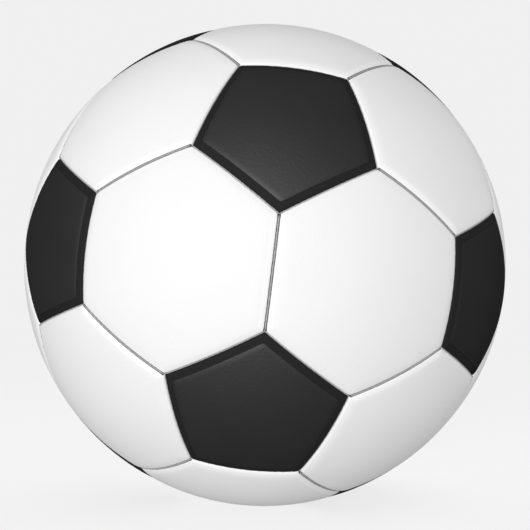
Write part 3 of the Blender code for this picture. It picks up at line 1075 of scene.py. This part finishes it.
@dataclass
class Inside:
    """The bladder, and the pieces glued round its valve and across from it."""

    axis: np.ndarray
    ball_mm: float
    bladder_under_mm: float = 7.6
    wall_mm: float = 0.9
    neck_mm: float = 5.4
    neck_slope_mm: float = 0.3
    stem_hole_mm: float = 5.8
    seat_mm: float = 0.3
    skirt_out_mm: float = 14.0
    skirt_thick_mm: float = 1.0
    patch_out_mm: float = 19.0
    patch_thick_mm: float = 0.6
    backing_out_mm: float = 12.5
    backing_thick_mm: float = 0.6
    balance_out_mm: float = 15.0
    balance_slant_mm: float = 0.8
    balance_middle_mm: float = 3.0  # the ring of points nearest to its middle
    balance_thick_mm: float = 2.0
    flash_mm: float = 0.22  # height of the ridge where the bladder's mould parted
    flash_wide_mm: float = 1.2
    rings: int = 60
    soft_mm: float = 0.15
    balance_soft_mm: float = 0.2

    @property
    def bladder_mm(self) -> float:
        """Radius of the bladder's outer face."""
        return self.ball_mm - self.bladder_under_mm

    def bladder_profile(self) -> Profile:
        """Draws the bladder from its far pole up inside it, over its neck and down outside it.

        Returns:
            A profile that starts and ends on the axis.
        """
        outer, inner = self.bladder_mm, self.bladder_mm - self.wall_mm
        turns = np.linspace(math.pi, math.asin(self.neck_mm / inner), self.rings)
        inside = [(0.0, -inner)] + [(inner * math.sin(t), inner * math.cos(t)) for t in turns[1:]]
        outside = []
        neck = math.asin((self.neck_mm + self.neck_slope_mm) / outer)
        for turn in np.linspace(neck, math.pi, self.rings * 2 + 1)[:-1]:
            off_middle = (turn - math.pi / 2) * outer / self.flash_wide_mm
            reach = outer + self.flash_mm * math.exp(-(off_middle**2))
            outside.append((reach * math.sin(turn), reach * math.cos(turn)))
        top = outside[0][1]
        lip = [(self.neck_mm, top - 0.25), (self.neck_mm + 0.1, top - 0.07)]
        return inside + lip + outside + [(0.0, -outer)]

    def patch_profile(self) -> Profile:
        """Draws the patch: over the valve's skirt, then down a step onto the bladder.

        Returns:
            A closed profile.
        """
        low = self.bladder_mm + self.seat_mm
        under = low + self.skirt_thick_mm + self.seat_mm
        step = self.skirt_out_mm + self.seat_mm
        thick = self.patch_thick_mm
        return softened(
            dome_line(under + thick, self.stem_hole_mm, step + thick, 4)
            + dome_line(low + thick, step + thick, self.patch_out_mm, 2)
            + dome_line(low, self.patch_out_mm, step, 2)
            + dome_line(under, step, self.stem_hole_mm, 4),
            self.soft_mm,
        )

    def backing_profile(self) -> Profile:
        """Draws the cloth disc behind the hole in the valve's panel.

        Returns:
            A closed profile.
        """
        top = self.ball_mm - LAMINATE_MM - self.seat_mm
        under = top - self.backing_thick_mm
        return softened(
            dome_line(top, self.stem_hole_mm, self.backing_out_mm, 3)
            + dome_line(under, self.backing_out_mm, self.stem_hole_mm, 3),
            self.soft_mm,
        )

    def balance_profile(self) -> Profile:
        """Draws the counterweight across from the valve, its edge cut on a slant.

        Returns:
            A profile that starts and ends on the axis.
        """
        under = self.bladder_mm + self.seat_mm
        top = under + self.balance_thick_mm
        first, last = self.balance_middle_mm, self.balance_out_mm
        return softened(
            [(0.0, top)]
            + dome_line(top, first, last - self.balance_slant_mm, 4)
            + dome_line(under, last, first, 4)
            + [(0.0, under)],
            self.balance_soft_mm,
            closed=False,
        )

    def build(self) -> list[Piece]:
        """Makes the bladder, the patch, the backing and the counterweight.

        Returns:
            The four pieces.
        """
        here, across = self.axis, -self.axis
        bladder, patch = self.bladder_profile(), self.patch_profile()
        backing, balance = self.backing_profile(), self.balance_profile()
        table = (
            ("bladder_skin", "bladder", here, bladder, Finish.BLADDER, "bladder_rubber"),
            ("valve_patch_ring", "valve_patch", here, patch, Finish.PATCH, "patch_rubber"),
            ("hole_backing", "valve_hole_backing", here, backing, Finish.BACKING, "backing_cloth"),
            ("balance_weight", "balance_patch", across, balance, Finish.PATCH, "patch_rubber"),
        )
        return [TurnedPiece(*row).build() for row in table]


# ---- Studio ----


@dataclass(frozen=True)
class Softbox:
    """A soft, even light from one direction."""

    name: str
    turn: float  # degrees round the ball from its front
    rise: float  # degrees above the horizon
    power: float  # irradiance
    spread: float  # degrees across, seen from the ball
    shines: bool = False  # True if it shows as a highlight


SOFTBOXES = (
    Softbox("key_softbox", -16.0, 7.0, 2.22, 26.0, shines=True),
    Softbox("back_softbox", 133.0, 5.0, 1.6, 40.0),
    Softbox("top_back_softbox", -140.0, 45.0, 0.2, 40.0),
    Softbox("rear_softbox", 180.0, 8.0, 1.7, 16.0),
)


@dataclass
class Studio:
    """A pale seamless sweep, soft lights before and behind the ball, and an even surround."""

    radius: float
    surround: float = 0.43
    light_reach: float = 2.0
    paper: str = "#F0F0F0"
    low_glow: float = 0.87  # the sweep's own share of its tone near the ball
    catch: float = 0.20  # how much light it takes there
    fade_reach: tuple[float, float] = (2.0, 6.0)  # where "near" ends, in ball radii
    sweep_out: float = 4.0
    sweep_up: float = 3.0
    sweep_bend: float = 1.5
    bend_steps: int = 12
    sweep_rings: tuple[float, ...] = (0.05, 0.15, 0.3, 0.6, 1.2)
    sweep_segments: int = 96
    camera_turn: float = math.radians(-1.4)
    camera_rise: float = math.radians(1.5)
    camera_reach: float = 4.6  # in ball radii
    lens_mm: float = 73.41
    sensor_mm: float = 36.0
    clip_start: float = 0.01

    def direction(self, turn: float, rise: float) -> Vector:
        """The way to a point round the ball: turn 0 is the front, and a positive turn its right."""
        flat = math.cos(rise)
        return Vector((math.sin(turn) * flat, -math.cos(turn) * flat, math.sin(rise)))

    def place(self, name: str, data: bpy.types.ID, way: Vector, reach: float) -> Piece:
        """Puts a camera or a light round the ball, aimed at its centre.

        Args:
            name: the object's name.
            data: its camera or light.
            way: the direction that it stands in.
            reach: how far off.

        Returns:
            The object.
        """
        made = bpy.data.objects.new(name, data)
        made.location = way * reach
        made.rotation_euler = (-way).to_track_quat("-Z", "Y").to_euler()
        bpy.context.scene.collection.objects.link(made)
        return made

    def place_camera(self) -> None:
        """Puts the camera in front of the ball."""
        data = bpy.data.cameras.new("camera")
        data.lens = self.lens_mm
        data.sensor_width = self.sensor_mm
        data.clip_start = self.clip_start
        way = self.direction(self.camera_turn, self.camera_rise)
        camera = self.place("camera", data, way, self.camera_reach * self.radius)
        bpy.context.scene.camera = camera

    def light(self) -> None:
        """Sets up the lights and the even surround, of which only the key shows as a highlight."""
        for box in SOFTBOXES:
            lamp = bpy.data.lights.new(box.name, "SUN")
            lamp.energy = box.power
            lamp.angle = math.radians(box.spread)
            way = self.direction(math.radians(box.turn), math.radians(box.rise))
            made = self.place(box.name, lamp, way, self.light_reach)
            made.visible_glossy = box.shines
        world = bpy.data.worlds.new("even_surround")
        world.use_nodes = True
        tree = world.node_tree
        tree.nodes.clear()
        level = (self.surround,) * 3 + (1.0,)
        surround = add_node(tree, "Background", {"Color": level, "Strength": 1.0})
        add_node(tree, "OutputWorld", {}, {"Surface": surround.outputs["Background"]})
        world.cycles_visibility.glossy = False
        bpy.context.scene.world = world

    def sweep_material(self) -> bpy.types.Material:
        """Makes a pale backlit acrylic that glows evenly, and near the ball also takes its shadow.

        Returns:
            The material.
        """
        made, tree = new_material("pale_backlit_acrylic")
        place = add_node(tree, "TexCoord").outputs["Object"]
        length = add_node(tree, "VectorMath", {"operation": "LENGTH"}, {"Vector": place})
        inner, outer = (reach * self.radius for reach in self.fade_reach)
        fade = {"From Min": inner, "From Max": outer, "To Min": 1.0, "To Max": 0.0}
        near = add_node(tree, "MapRange", fade, {"Value": length.outputs["Value"]})
        tone = linear(self.paper)
        glow = add_node(tree, "Emission", {"Color": tone, "Strength": 1.0})
        lit = add_node(tree, "BsdfDiffuse", {"Color": (self.catch,) * 3 + (1.0,)})
        low = add_node(tree, "Emission", {"Color": tone, "Strength": self.low_glow})
        both = add_node(tree, "AddShader", {}, {0: lit.outputs[0], 1: low.outputs[0]})
        parts = {0: near.outputs["Result"], 1: glow.outputs[0], 2: both.outputs[0]}
        mixed = add_node(tree, "MixShader", {}, parts)
        add_node(tree, "OutputMaterial", {}, {"Surface": mixed.outputs[0]})
        return made

    def lay_sweep(self, floor: float) -> None:
        """Lays the sweep: flat under the ball, and curved up all round far from it.

        Args:
            floor: its height.
        """
        right, ahead, up = np.eye(3)
        ring = circle(even_angles(self.sweep_segments), right, ahead)
        bend, flat = self.sweep_bend, self.sweep_out - self.sweep_bend
        outs = [(out, 0.0) for out in self.sweep_rings + (flat,)]
        for angle in np.linspace(0, math.pi / 2, self.bend_steps + 1)[1:]:
            outs.append((flat + bend * math.sin(angle), bend * (1 - math.cos(angle))))
        outs.append((self.sweep_out, self.sweep_up))
        weave = Weave()
        loops = [ring * out + up * (height + floor) for out, height in outs]
        weave.skin(loops, (up * floor, None))
        sweep = weave.to_object("pale_sweep", [self.sweep_material()])
        sweep.visible_diffuse = False
        sweep.visible_glossy = False
        sweep.visible_shadow = False
        sweep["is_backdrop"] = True

    def build(self, floor: float) -> None:
        """Sets the whole studio round the ball.

        Args:
            floor: the height of the ball's lowest point.
        """
        self.lay_sweep(floor)
        self.light()
        self.place_camera()
        bpy.context.scene.view_settings.view_transform = "Standard"


RIM_UNDER_MM = 0.8  # how far the valve's rim lies under the ball's surface


def main() -> None:
    """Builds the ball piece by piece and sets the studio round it."""
    logging.basicConfig(level=logging.INFO, format="%(name)s: %(message)s")
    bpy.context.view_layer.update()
    radius = CIRCUMFERENCE / FULL_TURN
    pattern = SeamPattern.of_frame()
    cover = Cover(pattern, radius)
    axis = pattern.middles["valve_panel"]
    inside = Inside(axis, ball_mm=radius / MM)
    skirt = inside.bladder_mm + inside.seat_mm
    valve = Valve(axis, rim_mm=inside.ball_mm - RIM_UNDER_MM, skirt_mm=skirt)
    for build in (cover.build_panels, cover.build_threads, valve.build, inside.build):
        for made in build():
            log.info("built %s with %d faces", made.name, len(made.data.polygons))
    Studio(radius).build(floor=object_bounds()[0].z)


if __name__ == "__main__":
    main()
